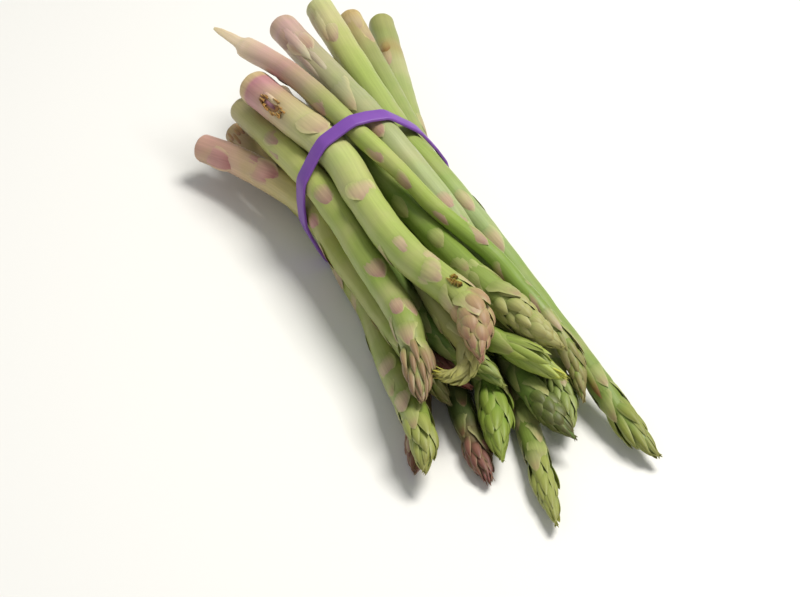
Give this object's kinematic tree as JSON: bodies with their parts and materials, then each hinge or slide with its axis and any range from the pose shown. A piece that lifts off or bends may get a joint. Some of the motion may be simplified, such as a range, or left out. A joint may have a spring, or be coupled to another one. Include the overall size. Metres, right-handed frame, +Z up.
{
  "type": "bundle of green asparagus",
  "caption": "Bundle of fresh green asparagus spears lying on its side, pinched by a flat rubber band, cut butts behind and scaly tips fanned out in front.",
  "frame": {"origin": "middle of the bundle's box, on the surface that it lies on", "axes": "+X along the bundle from the cut butts to the tips, +Y to the left when looking along +X, +Z up from the surface"},
  "size_m": [0.2642, 0.096, 0.0482],
  "materials": {
    "asparagus_green": "fresh green asparagus skin, satin, finely ribbed along the stem, with triangular scales",
    "asparagus_pale": "pale yellow-green asparagus skin, satin, with pink and mauve scales and blushed butts",
    "asparagus_purple": "green asparagus skin with brown-purple scales closed over the tip",
    "band_rubber": "violet rubber strip, smooth, satin"
  },
  "bodies": {
    "root": {"rubber_band": "band_rubber", "spear_01": "asparagus_green", "spear_02": "asparagus_pale", "spear_03": "asparagus_pale", "spear_04": "asparagus_pale", "spear_05": "asparagus_green", "spear_06": "asparagus_pale", "spear_07": "asparagus_green", "spear_08": "asparagus_green", "spear_09": "asparagus_green", "spear_10": "asparagus_purple", "spear_11": "asparagus_purple", "spear_12": "asparagus_green", "spear_13": "asparagus_green", "spear_14": "asparagus_purple", "spear_15": "asparagus_green", "spear_16": "asparagus_pale", "spear_17": "asparagus_pale", "spear_18": "asparagus_pale", "spear_19": "asparagus_green"}
  },
  "joints": []
}
